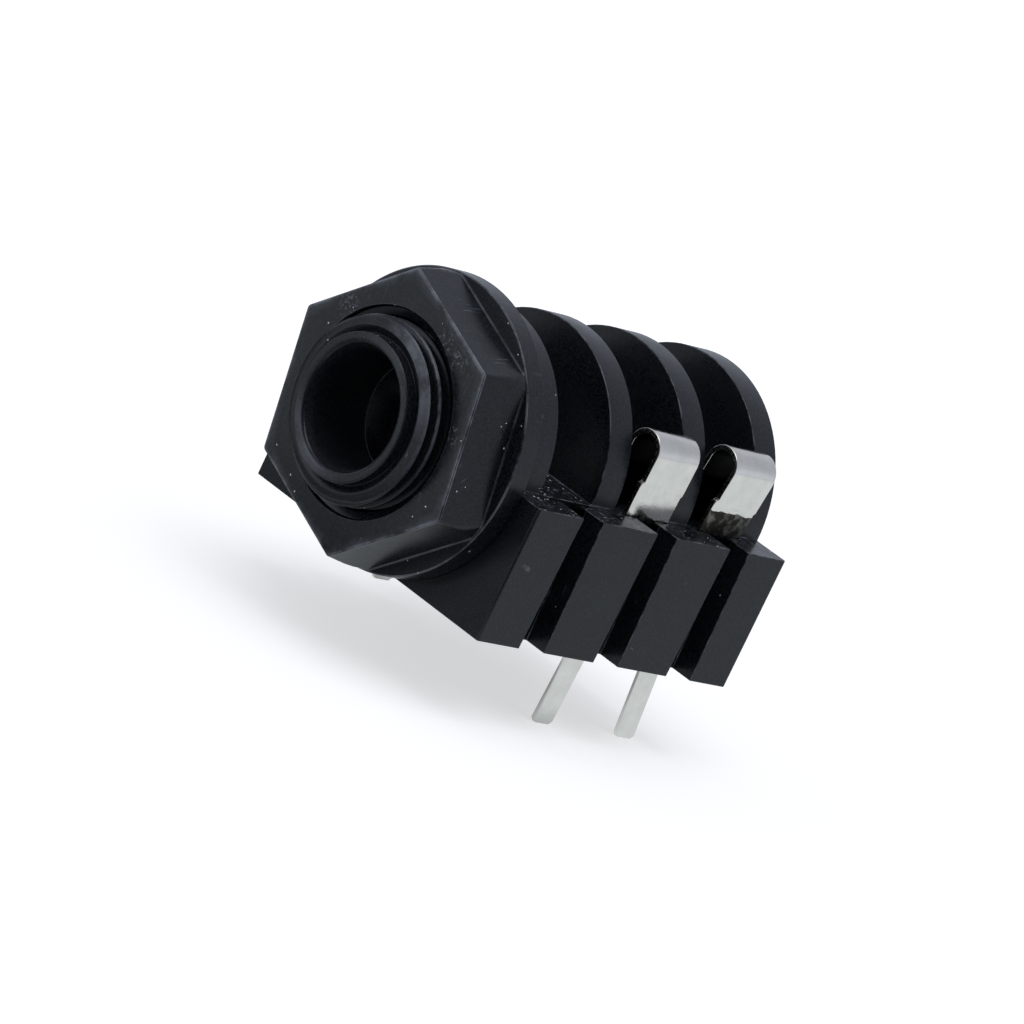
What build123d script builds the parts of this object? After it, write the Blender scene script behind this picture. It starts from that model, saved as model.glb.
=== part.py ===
from build123d import *
import os

# Panel and board mounting socket for a 6.35 mm audio plug: two poles, each with a break contact.
# Frame, in millimetres: the plug's axis is the Y axis and the plug comes in from -Y.
# The origin is on that axis, in the plane where the front wall meets the panel.
# +X and -X are the two contact sides, +Z is up and the solder pins point down.

os.makedirs("parts", exist_ok=True)

# Plug passage
plug_bore_r = 3.45         # collar that guides the plug
mouth_chamfer = 0.2        # lead-in at the collar's mouth
collar_length = 5.0        # guiding length behind the nose
cavity_step = 0.65         # the passage widens by this behind the collar
rib_hole_step = 0.15       # rib holes are this much larger in radius than the collar

# Threaded bush, plain at the thread's major diameter
bush_wall = 2.05           # from the plug bore to the crest of the thread
bush_length = 6.4          # from the panel plane to the nose
neck_step = 1.19           # the nose face is this much smaller in radius
neck_length = 0.75         # taper from the nose face up to the first crest

# Ribbed body
contact_pitch = 6.35       # from rib to rib and from pin to pin
rib_thickness = 1.95
rib_radius = 7.85
rib_count = 3
front_wall = 2.35          # from the panel plane to the first gap
rib_edge = 0.06            # bevel of the ribs' rims

# Base
base_depth = 8.45          # from the plug axis down to the board
ledge_drop = 0.1           # the ledge lies this far below the axis
floor_thickness = 1.55
row_spacing = 16.2         # between the two rows of pins, centre to centre
slot_web = 1.475           # wall between a contact slot and the gap's pocket
groove_web = 0.52          # wall between a contact slot and a side groove
groove_depth = 1.6
groove_top_width = 1.65
groove_bottom_width = 2.1
relief_depth = 0.6         # each slot opens into its groove down to this depth
base_edge = 0.15           # rounding of the base's upright corners

# Contact strip
strip_thickness = 0.32
slot_clearance = 0.05      # all round a strip's foot in its slot
pin_slot_clearance = 0.25  # beside a pin, where the slot goes through to the underside
foot_gap_front = 0.6       # from the gap's front face to the foot's edge
loop_gap_front = 0.8       # the same, above the notch in the leg's edge
loop_gap_rear = 0.05       # from the loop's edge to the gap's rear face
foot_gap_rear = 0.15       # the same, below the step in the leg's rear edge
foot_depth = 3.0           # seated depth of the wide foot below the ledge
notch_height = 2.1         # height of the notch in the front edge above the ledge
step_height = 1.75         # height of the step in the rear edge above the ledge
pin_width = 1.6
pin_bevel = 0.2
spring_pin_length = 5.0    # below the base, on the plug side's springs
break_pin_length = 4.05    # below the base, on the break contacts
sleeve_pin_lean = -0.25    # the front spring's pin is bent forward by this much at its tip
tip_pin_lean = 0.55        # the rear spring's pin is bent back by this much

# Plug springs, profile across the body
loop_radius = 1.1          # middle of the strip
sleeve_loop_height = 4.75  # top of the bend above the ledge, middle of the strip
tip_loop_height = 4.8
sleeve_loop_lean = 0.12    # the leg leans out by this much up to its bend
tip_loop_lean = 0.45
elbow_drop = 1.3           # straight run from the hairpin bend down to the elbow
elbow_radius = 0.9
crest_reach = 0.15         # a free crest reaches this far inside the plug's surface
plug_radius = 3.175
crest_height = 0.3
crest_radius = 0.9
free_end_out = 0.95        # the free end stands this much further out than the crest
free_end_drop = 4.9        # and this much lower

# Break contacts
break_loop_height = 1.5    # top of the bend above the ledge, middle of the strip
break_loop_radius = 1.1
break_run_drop = 5.65      # the run under the plug lies this far below the axis
break_bend_radius = 0.8
break_tip_drop = 3.9       # the upturned tip ends this far below the axis
break_width = 2.6
contact_gap = 0.05         # between the upturned tip and the spring's free end

# Nut
nut_height = 4.5
nut_flange_thickness = 1.45
nut_flange_r = 8.9
nut_front_apothem = 7.4    # half the width across the flats, at the front
nut_draft = 8.0            # degrees, the flats spread towards the flange
nut_corner_r = 0.35
nut_turn = 40.6            # degrees, one corner's angle above +X
nut_opening_step = 0.62    # the countersunk mouth is this much larger than the bush
nut_opening_depth = 0.7
thread_clearance = 0.08    # radial, between the nut and the bush
nut_seat_gap = 0.05        # left between the flange and the front wall

# Worked out
gap_width = contact_pitch - rib_thickness
gap_fronts = [front_wall + k * contact_pitch for k in range(rib_count)]
gap_centres = [y + gap_width / 2 for y in gap_fronts]
rib_fronts = [y + gap_width for y in gap_fronts]
body_length = rib_fronts[-1] + rib_thickness
ledge_z = -ledge_drop
base_bottom = -base_depth
base_height = ledge_z - base_bottom
floor_z = base_bottom + floor_thickness
row_x = row_spacing / 2
slot_half = strip_thickness / 2 + slot_clearance
pocket_half = row_x - slot_half - slot_web
groove_x = row_x + slot_half + groove_web
base_half = groove_x + groove_depth
bush_r = plug_bore_r + bush_wall
nose_r = bush_r - neck_step
cavity_r = plug_bore_r + cavity_step
rib_hole_r = plug_bore_r + rib_hole_step
collar_end = collar_length - bush_length
nut_front = -nut_seat_gap - nut_height
sleeve_gap, tip_gap = 1, 2   # counted from the front wall, from 0: the first gap's slots stay empty
crest_x = plug_radius - crest_reach + strip_thickness / 2
free_end_slope = free_end_out / free_end_drop
break_tip_x = crest_x + free_end_slope * (crest_height + break_tip_drop) - strip_thickness - contact_gap


def across(y):
    """Plane across the body at a distance y behind the panel: X to the right, Z up, facing -Y."""
    return Plane.XZ.offset(-y)


def box_between(low, high, mode=Mode.ADD):
    """Upright box from its lowest to its highest corner."""
    centre = [(a + b) / 2 for a, b in zip(low, high)]
    size = [b - a for a, b in zip(low, high)]
    with Locations(tuple(centre)):
        Box(*size, mode=mode)


with BuildPart() as housing:
    # Base block, with rounded upright corners
    with BuildSketch(Plane.XY.offset(base_bottom)):
        with Locations((0, body_length / 2)):
            Rectangle(2 * base_half, body_length)
    extrude(amount=base_height)
    fillet(housing.edges().filter_by(Axis.Z), base_edge)
    # Front wall and ribs, round above the ledge and let into the base below it
    for front, thickness in [(0, front_wall)] + [(y, rib_thickness) for y in rib_fronts]:
        with BuildSketch(across(front)):
            Circle(rib_radius)
        extrude(amount=-thickness)
    rims = housing.edges().filter_by(GeomType.CIRCLE).filter_by(lambda e: abs(e.radius - rib_radius) < rib_edge)
    chamfer(rims.filter_by(lambda e: e.center().Y > front_wall / 2), rib_edge)
    # Bush, turned profile in the half plane beside the axis
    with BuildSketch(Plane.XY):
        with BuildLine():
            Polyline(
                (0, 0), (bush_r, 0), (bush_r, neck_length - bush_length), (nose_r, -bush_length), (0, -bush_length),
                close=True,
            )
        make_face()
    revolve(axis=Axis.Y)
    # Plug passage: lead-in, guiding collar, wider cavity, holes through the ribs
    with BuildSketch(Plane.XY):
        with BuildLine():
            Polyline(
                (0, -bush_length),
                (plug_bore_r + mouth_chamfer, -bush_length),
                (plug_bore_r, mouth_chamfer - bush_length),
                (plug_bore_r, collar_end),
                (cavity_r, collar_end),
                (cavity_r, front_wall),
                (rib_hole_r, front_wall),
                (rib_hole_r, body_length),
                (0, body_length),
                close=True,
            )
        make_face()
    revolve(axis=Axis.Y, mode=Mode.SUBTRACT)
    # Pockets for the contacts in the second and third gaps
    for k in (sleeve_gap, tip_gap):
        box_between(
            (-pocket_half, gap_fronts[k], floor_z),
            (pocket_half, gap_fronts[k] + gap_width, ledge_z),
            mode=Mode.SUBTRACT,
        )
    # Side grooves with their draft
    for centre in gap_centres:
        for side in (-1, 1):
            with BuildSketch(Plane.YZ.offset(side * groove_x)):
                with BuildLine():
                    Polyline(
                        (centre - groove_bottom_width / 2, base_bottom),
                        (centre + groove_bottom_width / 2, base_bottom),
                        (centre + groove_top_width / 2, ledge_z),
                        (centre - groove_top_width / 2, ledge_z),
                        close=True,
                    )
                make_face()
            extrude(amount=side * groove_depth, mode=Mode.SUBTRACT)
    # Contact slots: wide for the foot, narrow for the pin, open to the groove at the top
    for front, centre in zip(gap_fronts, gap_centres):
        foot_front = front + foot_gap_front - slot_clearance
        foot_rear = front + gap_width - foot_gap_rear + slot_clearance
        pin_half = pin_width / 2 + pin_slot_clearance
        relief_half = groove_top_width / 2
        for side in (-1, 1):
            slot_x = side * row_x
            near_x, far_x = sorted((slot_x, side * groove_x))
            box_between(
                (slot_x - slot_half, foot_front, ledge_z - foot_depth - slot_clearance),
                (slot_x + slot_half, foot_rear, ledge_z),
                mode=Mode.SUBTRACT,
            )
            box_between(
                (slot_x - slot_half, centre - pin_half, base_bottom),
                (slot_x + slot_half, centre + pin_half, ledge_z),
                mode=Mode.SUBTRACT,
            )
            box_between(
                (near_x, centre - relief_half, ledge_z - relief_depth),
                (far_x, centre + relief_half, ledge_z),
                mode=Mode.SUBTRACT,
            )
housing.part.label = "housing"
export_step(housing.part, "parts/housing.step")


with BuildPart() as nut:
    # Hexagon that spreads towards the flange and is turned to the flange's diameter
    with BuildSketch(across(nut_front)) as hexagon:
        RegularPolygon(nut_front_apothem, 6, major_radius=False, rotation=nut_turn)
        fillet(hexagon.vertices(), nut_corner_r)
    extrude(amount=-(nut_height - nut_flange_thickness), taper=-nut_draft)
    with BuildSketch(across(nut_front)):
        Circle(nut_flange_r)
    extrude(amount=-(nut_height - nut_flange_thickness), mode=Mode.INTERSECT)
    with BuildSketch(across(-nut_seat_gap - nut_flange_thickness)):
        Circle(nut_flange_r)
    extrude(amount=-nut_flange_thickness)
    # Threaded hole with a countersunk mouth
    with BuildSketch(Plane.XY):
        with BuildLine():
            Polyline(
                (0, nut_front),
                (bush_r + nut_opening_step, nut_front),
                (bush_r + thread_clearance, nut_front + nut_opening_depth),
                (bush_r + thread_clearance, 0),
                (0, 0),
                close=True,
            )
        make_face()
    revolve(axis=Axis.Y, mode=Mode.SUBTRACT)
nut.part.label = "nut"
export_step(nut.part, "parts/nut.step")


def foot_and_pin(side, gap, top, pin_length, lean):
    """Flat blank of a contact's foot and pin, standing in its slot."""
    centre = gap_centres[gap]
    front = gap_fronts[gap] + foot_gap_front
    rear = gap_fronts[gap] + gap_width - foot_gap_rear
    low = ledge_z - foot_depth
    tip = base_bottom - pin_length
    half = pin_width / 2
    with BuildSketch(Plane.YZ.offset(side * row_x - strip_thickness / 2)) as blank:
        with BuildLine():
            Polyline(
                (front, top),
                (front, low),
                (centre - half, low),
                (centre - half, base_bottom),
                (centre - half + lean, tip + pin_bevel),
                (centre - half + pin_bevel + lean, tip),
                (centre + half - pin_bevel + lean, tip),
                (centre + half + lean, tip + pin_bevel),
                (centre + half, base_bottom),
                (centre + half, low),
                (rear, low),
                (rear, top),
                close=True,
            )
        make_face()
    return blank.sketch


def spring_profile(gap, loop_height, lean):
    """Side view of a plug spring: leg, hairpin bend and the inner leg with the crest that bears on the plug."""
    notch_z = ledge_z + notch_height
    with BuildSketch(across(gap_fronts[gap] + loop_gap_front)) as profile:
        with BuildLine():
            Line((row_x, ledge_z + step_height), (row_x, notch_z))
            leg = Line((row_x, notch_z), (row_x + lean, ledge_z + loop_height - loop_radius))
            hairpin = JernArc(leg @ 1, leg % 1, loop_radius, 180)
            FilletPolyline(
                hairpin @ 1,
                hairpin @ 1 + (hairpin % 1) * elbow_drop,
                (crest_x, crest_height),
                (crest_x + free_end_out, crest_height - free_end_drop),
                radius=[elbow_radius, crest_radius],
            )
        trace(line_width=strip_thickness)
    return profile.sketch


def break_profile(gap):
    """Side view of a break contact: over the ledge, down into the pocket and under the plug to the spring."""
    with BuildSketch(across(gap_centres[gap] - break_width / 2)) as profile:
        with BuildLine():
            leg = Line((-row_x, ledge_z - foot_depth / 2), (-row_x, ledge_z + break_loop_height - break_loop_radius))
            hairpin = JernArc(leg @ 1, leg % 1, break_loop_radius, -180)
            FilletPolyline(
                hairpin @ 1,
                (2 * break_loop_radius - row_x, -break_run_drop),
                (break_tip_x, -break_run_drop),
                (break_tip_x, -break_tip_drop),
                radius=[break_bend_radius, break_bend_radius],
            )
        trace(line_width=strip_thickness)
    return profile.sketch


foot_top = ledge_z + notch_height
loop_width = gap_width - loop_gap_front - loop_gap_rear

with BuildPart() as sleeve_spring:
    extrude(foot_and_pin(1, sleeve_gap, foot_top, spring_pin_length, sleeve_pin_lean), amount=strip_thickness)
    extrude(spring_profile(sleeve_gap, sleeve_loop_height, sleeve_loop_lean), amount=-loop_width)
sleeve_spring.part.label = "sleeve_spring"
export_step(sleeve_spring.part, "parts/sleeve_spring.step")

with BuildPart() as tip_spring:
    extrude(foot_and_pin(1, tip_gap, foot_top, spring_pin_length, tip_pin_lean), amount=strip_thickness)
    extrude(spring_profile(tip_gap, tip_loop_height, tip_loop_lean), amount=-loop_width)
tip_spring.part.label = "tip_spring"
export_step(tip_spring.part, "parts/tip_spring.step")

with BuildPart() as sleeve_break_contact:
    extrude(foot_and_pin(-1, sleeve_gap, ledge_z, break_pin_length, 0), amount=strip_thickness)
    extrude(break_profile(sleeve_gap), amount=-break_width)
sleeve_break_contact.part.label = "sleeve_break_contact"
export_step(sleeve_break_contact.part, "parts/sleeve_break_contact.step")

with BuildPart() as tip_break_contact:
    extrude(foot_and_pin(-1, tip_gap, ledge_z, break_pin_length, 0), amount=strip_thickness)
    extrude(break_profile(tip_gap), amount=-break_width)
tip_break_contact.part.label = "tip_break_contact"
export_step(tip_break_contact.part, "parts/tip_break_contact.step")
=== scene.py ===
# %% [markdown]
# # A panel and board socket for a 6.35 mm audio plug
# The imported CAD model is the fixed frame: it says where every piece is and how the nut moves.
# This script gives the pieces their real surfaces: a moulded body with its thread, a hexagonal
# flange nut, and folded contacts of plated strip.

# %% Load the frame
import bpy
import bmesh
import numpy as np
from mathutils import Matrix, Vector


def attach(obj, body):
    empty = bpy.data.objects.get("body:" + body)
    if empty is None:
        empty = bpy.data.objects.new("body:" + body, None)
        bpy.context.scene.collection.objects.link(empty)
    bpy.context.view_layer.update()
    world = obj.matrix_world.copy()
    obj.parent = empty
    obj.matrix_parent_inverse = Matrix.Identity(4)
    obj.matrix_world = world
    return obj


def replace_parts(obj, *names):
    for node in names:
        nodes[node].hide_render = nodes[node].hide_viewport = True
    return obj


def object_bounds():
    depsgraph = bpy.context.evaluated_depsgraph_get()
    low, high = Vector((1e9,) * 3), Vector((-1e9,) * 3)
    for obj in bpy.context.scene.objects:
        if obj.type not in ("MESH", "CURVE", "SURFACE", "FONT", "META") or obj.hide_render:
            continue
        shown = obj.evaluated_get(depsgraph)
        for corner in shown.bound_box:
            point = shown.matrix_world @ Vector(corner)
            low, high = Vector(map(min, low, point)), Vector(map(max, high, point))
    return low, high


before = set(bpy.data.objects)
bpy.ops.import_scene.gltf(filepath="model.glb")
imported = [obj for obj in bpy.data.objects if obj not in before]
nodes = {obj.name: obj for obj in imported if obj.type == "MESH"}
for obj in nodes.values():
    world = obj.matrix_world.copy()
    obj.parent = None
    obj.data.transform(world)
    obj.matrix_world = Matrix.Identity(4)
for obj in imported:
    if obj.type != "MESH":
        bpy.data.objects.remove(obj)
cad_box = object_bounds()
print("nodes:", sorted(nodes))

# %% [markdown]
# ## Sizes and axes
# Sizes are written in millimetres, as their maker would, and multiplied by MM where Blender
# needs metres. They are measured from the plug's axis: Y runs along it from the nose to the
# rear, +X is the side with the plug springs and +Z points away from the board.

# %% Sizes that several pieces share
MM = 0.001
BUSH_R = 5.5
BUSH_LENGTH = 6.4
THREAD_PITCH = 0.9
LEDGE_Z = -0.1


# %% [markdown]
# ## Surfaces from arrays
# A turned, threaded or folded surface is a function of two parameters. If both run over whole
# numpy arrays, the points come out as one grid, and the grid's index pattern gives the faces.

# %% A mesh from a grid of points
def grid_faces(rows, columns, closed_rows=False):
    """Corner indices of the grid's quads: each joins point (i, j) to its next row and next
    column. The last column is joined to the first, and so is the last row if rows are closed."""
    i = np.arange(rows if closed_rows else rows - 1)[:, None]
    j = np.arange(columns)[None, :]
    below, right = (i + 1) % rows, (j + 1) % columns
    corners = [i * columns + j, i * columns + right, below * columns + right, below * columns + j]
    return np.stack(corners, axis=-1).reshape(-1, 4)


def signed_volume(points, quads):
    """Volume inside a shell, in cubic units: the sum of its triangles' triple products over six.
    It is negative if the faces look inwards."""
    a, b, c, d = (points[quads[:, k]] for k in range(4))
    return (a * (np.cross(b, c) + np.cross(c, d))).sum() / 6


def new_object(name, data):
    """Object with this mesh, camera or light, in the scene, at the origin and unturned."""
    made = bpy.data.objects.new(name, data)
    bpy.context.scene.collection.objects.link(made)
    return made


def surface(name, grid, closed_rows, sharp_degrees):
    """Mesh object from a (rows, columns, 3) grid in millimetres, its faces looking outwards.
    Rows that don't close on themselves end in a flat cap at either end."""
    rows, columns, _ = grid.shape
    points = grid.reshape(-1, 3) * MM
    quads = grid_faces(rows, columns, closed_rows)
    turned = signed_volume(points - points.mean(axis=0), quads) < 0
    faces = (quads[:, ::-1] if turned else quads).tolist()
    if not closed_rows:
        first, last = list(range(columns)), list(range((rows - 1) * columns, rows * columns))
        faces += [first, last[::-1]] if turned else [first[::-1], last]
    mesh = bpy.data.meshes.new(name)
    mesh.from_pydata(points.tolist(), [], faces)
    mesh.shade_smooth()
    mesh.set_sharp_from_angle(angle=np.radians(sharp_degrees))
    print(f"{name}: {len(points)} points, {len(faces)} faces")
    return new_object(name, mesh)


def store_rub_and_highlight(mesh, rub_and_highlight):
    """Stores how strongly each vertex is rubbed, or lit by a painted highlight, from 0 to 1, where
    a material can read it.
    """
    layer = mesh.attributes.new("rub_and_highlight", "FLOAT", "POINT")
    layer.data.foreach_set("value", rub_and_highlight.astype(np.float32).ravel())


# %% [markdown]
# ## Colours and nodes
# Colours are written as they look on a screen, in hex, and the shaders work in linear light.
# One helper adds any node, so that every material below reads as a list of what it is made of.

# %% Colour and node helpers
def linear(hex_colour):
    """Linear RGBA of sRGB hex: c / 12.92 in the dark, else ((c + 0.055) / 1.055) ** 2.4."""
    c = np.array([int(hex_colour[k:k + 2], 16) for k in (1, 3, 5)]) / 255
    rgb = np.where(c <= 0.04045, c / 12.92, ((c + 0.055) / 1.055) ** 2.4)
    return (*rgb.tolist(), 1.0)


def new_material(name):
    """Empty node material and its tree."""
    material = bpy.data.materials.new(name)
    material.use_nodes = True
    material.node_tree.nodes.clear()
    return material, material.node_tree


def add_node(tree, kind, inputs=None, links=None, **settings):
    """Adds one node with its own settings, its fixed inputs and its linked inputs. A link starts
    at a socket, or at a node: then its first output in use is meant."""
    node = tree.nodes.new("ShaderNode" + kind)
    for name, value in settings.items():
        setattr(node, name, value)
    for name, value in (inputs or {}).items():
        node.inputs[name].default_value = value
    for name, source in (links or {}).items():
        if hasattr(source, "outputs"):
            source = next(output for output in source.outputs if output.enabled)
        tree.links.new(source, node.inputs[name])
    return node


def per_mm(size_mm):
    """Scale of a texture with features of about size_mm, on Object coordinates in metres."""
    return 1 / (size_mm * MM)


# %% [markdown]
# ## Dust, fibres and scratches
# A black part shows every speck. Dust settles on the faces that look up, and a few grains cling
# to the others. Handling leaves short hair lines. A speck is the middle of a Voronoi cell, and a
# hair line is a contour line of a noise that is stretched along one direction. Another noise
# decides where they are at all.

# %% Masks for dust and scratches
def dust_mask(tree, place, up, share, settled_share, cell_mm):
    """Specks up to 0.4 of a cell across, at most one in a cell. The share of cells that hold one
    grows with up, and falls from the first gap to the rear, where handling sweeps the ledge."""
    bent = add_node(tree, "TexNoise", {"Scale": per_mm(0.09)}, {"Vector": place})
    shifted = add_node(tree, "VectorMath", {1: (0.06 * MM,) * 3}, {0: bent.outputs["Color"]},
        operation="MULTIPLY")
    ragged = add_node(tree, "VectorMath", links={0: place, 1: shifted}, operation="ADD")
    cells = add_node(tree, "TexVoronoi", {"Scale": per_mm(cell_mm)}, {"Vector": ragged})
    pick = add_node(tree, "SeparateColor", links={"Color": cells.outputs["Color"]})
    wanted = add_node(tree, "MapRange",
        {"From Min": 0.88, "From Max": 0.98, "To Min": share, "To Max": settled_share},
        {"Value": up})
    along = add_node(tree, "SeparateXYZ", links={"Vector": place})
    swept = add_node(tree, "MapRange",
        {"From Min": 5.5 * MM, "From Max": 8 * MM, "To Min": 1.0, "To Max": 0.25},
        {"Value": along.outputs["Y"]})
    limit = add_node(tree, "Math", links={0: wanted, 1: swept}, operation="MULTIPLY")
    chosen = add_node(tree, "Math", links={0: pick.outputs["Red"], 1: limit}, operation="LESS_THAN")
    size = add_node(tree, "MapRange", {"From Min": 0.2, "To Min": 0.03, "To Max": 0.22},
        {"Value": pick.outputs["Green"]})
    within = add_node(tree, "Math", links={0: cells, 1: size}, operation="LESS_THAN")
    return add_node(tree, "Math", links={0: chosen, 1: within}, operation="MULTIPLY")


def hair_lines(tree, place, rotation, stretch, cell_mm, width, from_noise, patch_mm):
    """Thin lines where a noise, stretched along one direction, is within width of its middle
    value. They are kept where a second noise of patch_mm is above from_noise."""
    along = add_node(tree, "Mapping", {"Rotation": rotation, "Scale": stretch}, {"Vector": place})
    field = add_node(tree, "TexNoise", {"Scale": per_mm(cell_mm), "Detail": 1}, {"Vector": along})
    line = add_node(tree, "Math", {1: 0.5, 2: width}, {0: field}, operation="COMPARE")
    patch = add_node(tree, "TexNoise", {"Scale": per_mm(patch_mm), "Detail": 3}, {"Vector": place})
    kept = add_node(tree, "MapRange", {"From Min": from_noise, "From Max": from_noise + 0.06},
        {"Value": patch})
    return add_node(tree, "Math", links={0: kept, 1: line}, operation="MULTIPLY")


# %% [markdown]
# ## Black moulded nylon
# Body and nut are injection moulded in black nylon, the nut in a smoother mould. Such plastic is
# nearly black looked at squarely, and turns bluish grey where it is seen along its surface,
# because there it mirrors the bright surroundings. So the base is almost black, the gloss does
# the work, and a low noise makes it uneven. What lies on the skin is a list of grey layers.

# %% Black moulded nylon
# The rubbed grey also paints highlights on the bush's lit side and on the collar's far edge
RUBBED_AND_HIGHLIGHT_GREY, SCRATCH_GREY, FIBRE_GREY, DUST_WHITE = "#84888f", "#565a61", "#7c8188", "#dcdfe2"


def moulded_plastic(name, roughness, grain_bump, dust_share, settled_share, scratch_from,
                    rub_and_highlight_strength, specular=0.32, scuffs=()):
    """Black plastic. Its colour and roughness vary with noise of real sizes. On it lie edges
    burnished, and on the bush painted highlights, where the rub attribute is high, hair lines,
    scuffs, fibres and dust. Each scuff is a place and a reach in millimetres, inside which the skin
    is broken to a grey powder."""
    material, tree = new_material(name)
    coordinates = add_node(tree, "TexCoord")
    place = coordinates.outputs["Object"]
    facing = add_node(tree, "SeparateXYZ", links={"Vector": coordinates.outputs["Normal"]})
    height = add_node(tree, "SeparateXYZ", links={"Vector": place})
    # Less dust stays on the faces that look up from high on the part
    low_down = add_node(tree, "MapRange",
        {"From Min": 0.5 * MM, "From Max": 9 * MM, "To Min": 1.0, "To Max": 0.9},
        {"Value": height.outputs["Z"]})
    up = add_node(tree, "Math", links={0: facing.outputs["Z"], 1: low_down}, operation="MULTIPLY")

    cloud = add_node(tree, "TexNoise", {"Scale": per_mm(2.2), "Detail": 5, "Roughness": 0.62},
        {"Vector": place})
    grain = add_node(tree, "TexNoise", {"Scale": per_mm(0.14), "Detail": 3, "Roughness": 0.65},
        {"Vector": place})
    gloss = add_node(tree, "MapRange",
        {"From Min": 0.3, "From Max": 0.7, "To Min": roughness - 0.04, "To Max": roughness + 0.08},
        {"Value": cloud})
    fleck = add_node(tree, "MapRange", {"From Min": 0.34, "From Max": 0.66}, {"Value": grain})
    colour = add_node(tree, "Mix", {"A": linear("#060709"), "B": linear("#21252a")},
        {"Factor": fleck}, data_type="RGBA")

    # Edges burnished, and on the bush painted highlights, read from one attribute
    edge = add_node(tree, "Attribute", attribute_name="rub_and_highlight")
    patches = add_node(tree, "MapRange",
        {"From Min": 0.36, "From Max": 0.56, "To Max": rub_and_highlight_strength}, {"Value": cloud})
    burnished_and_highlight = add_node(tree, "Math", links={0: edge.outputs["Fac"], 1: patches},
        operation="MULTIPLY")
    layers = [(burnished_and_highlight, RUBBED_AND_HIGHLIGHT_GREY)]
    for rotation, patch_mm in [((0.5, 0.9, 0.3), 1.6), ((-0.7, 0.4, 1.1), 2.3)]:
        scratch = hair_lines(tree, place, rotation, stretch=(1, 0.05, 0.05), cell_mm=0.4,
                             width=0.005, from_noise=scratch_from, patch_mm=patch_mm)
        layers.append((scratch, SCRATCH_GREY))
    for middle, reach in scuffs:
        off_middle = add_node(tree, "VectorMath", {1: [c * MM for c in middle]}, {0: place},
            operation="DISTANCE")
        close = add_node(tree, "MapRange",
            {"From Min": reach * MM, "From Max": reach * MM / 3, "To Max": 0.7},
            {"Value": off_middle}, interpolation_type="SMOOTHSTEP")
        powder = add_node(tree, "MapRange", {"From Min": 0.54, "From Max": 0.66}, {"Value": grain})
        scuff = add_node(tree, "Math", links={0: close, 1: powder}, operation="MULTIPLY")
        layers.append((scuff, RUBBED_AND_HIGHLIGHT_GREY))
    lying = add_node(tree, "MapRange",
        {"From Min": 0.97, "From Max": 0.99, "To Max": settled_share}, {"Value": up})
    curl = hair_lines(tree, place, (0, 0, 0.6), stretch=(1, 1, 1), cell_mm=0.55,
                      width=0.014, from_noise=0.46, patch_mm=1.4)
    fibre = add_node(tree, "Math", links={0: lying, 1: curl}, operation="MULTIPLY")
    layers.append((fibre, FIBRE_GREY))
    for cell_mm, share in [(0.6, dust_share / 8), (0.28, dust_share)]:
        speck = dust_mask(tree, place, up, share, settled_share, cell_mm)
        layers.append((speck, DUST_WHITE))
    for mask, grey in layers:
        colour = add_node(tree, "Mix", {"B": linear(grey)}, {"Factor": mask, "A": colour},
            data_type="RGBA")

    # The fine specks, which were made last, are dull too
    dull = add_node(tree, "Mix", {"B": 0.85}, {"Factor": speck, "A": gloss})
    skin = add_node(tree, "Bump", {"Strength": grain_bump, "Distance": 0.02 * MM},
        {"Height": grain})
    shader = add_node(tree, "BsdfPrincipled", {"IOR": 1.5, "Specular IOR Level": specular},
        {"Base Color": colour, "Roughness": dull, "Normal": skin})
    add_node(tree, "OutputMaterial", links={"Surface": shader})
    return material


# The body's mould is a little blasted: a satin black that shows its dust
body_plastic = moulded_plastic(
    "satin_black_moulded_nylon", roughness=0.26, grain_bump=0.12, dust_share=0.02,
    settled_share=0.6, scratch_from=0.66, rub_and_highlight_strength=0.8, specular=0.3)
# The core that forms the bore is only turned: its wall hardly mirrors and looks like a dark hole
bore_plastic = moulded_plastic(
    "dull_black_nylon_bore", roughness=0.6, grain_bump=0.3, dust_share=0.004,
    settled_share=0.02, scratch_from=0.9, rub_and_highlight_strength=1.0, specular=0.12)
# The nut is scuffed on its front by the right corner, under it, and at the upper left
NUT_SCUFFS = [((2.7, -4.5, 5.7), 1.0), ((4.3, -4.5, 5.4), 0.9), ((6.2, -4.5, 1.6), 0.8),
              ((-5.2, -4.5, 4.3), 1.0)]
# Its mould is polished, so its facets shine and every scratch and rubbed edge shows
nut_plastic = moulded_plastic(
    "glossy_black_moulded_nylon", roughness=0.25, grain_bump=0.06, dust_share=0.03,
    settled_share=0.16, scratch_from=0.6, rub_and_highlight_strength=1.0, scuffs=NUT_SCUFFS)
print("plastics:", body_plastic.name, bore_plastic.name, nut_plastic.name)


# %% [markdown]
# ## Rubbed edges
# Edges of black plastic are the first to be rubbed. The rub lifts the black to a dark grey line,
# which is broken where the edge was never touched. Such a finish has two tones, and a noise
# decides between them. Two finishes of the metal below are of the same kind.

# %% Finishes of two tones, and the rubbed edge
def two_tone(name, dark, light, noise, limits, shader, bump=0.0):
    """Material that goes from dark to light while a noise goes from one limit to the other, its
    light spots raised by bump. noise and shader are the fixed inputs of these nodes."""
    material, tree = new_material(name)
    place = add_node(tree, "TexCoord").outputs["Object"]
    spots = add_node(tree, "TexNoise", noise, {"Vector": place})
    lightness = add_node(tree, "MapRange", {"From Min": limits[0], "From Max": limits[1]},
        {"Value": spots})
    colour = add_node(tree, "Mix", {"A": linear(dark), "B": linear(light)}, {"Factor": lightness},
        data_type="RGBA")
    links = {"Base Color": colour}
    if bump:
        links["Normal"] = add_node(tree, "Bump", {"Strength": bump, "Distance": 0.05 * MM},
            {"Height": spots})
    finish = add_node(tree, "BsdfPrincipled", shader, links)
    add_node(tree, "OutputMaterial", links={"Surface": finish})
    return material


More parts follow.
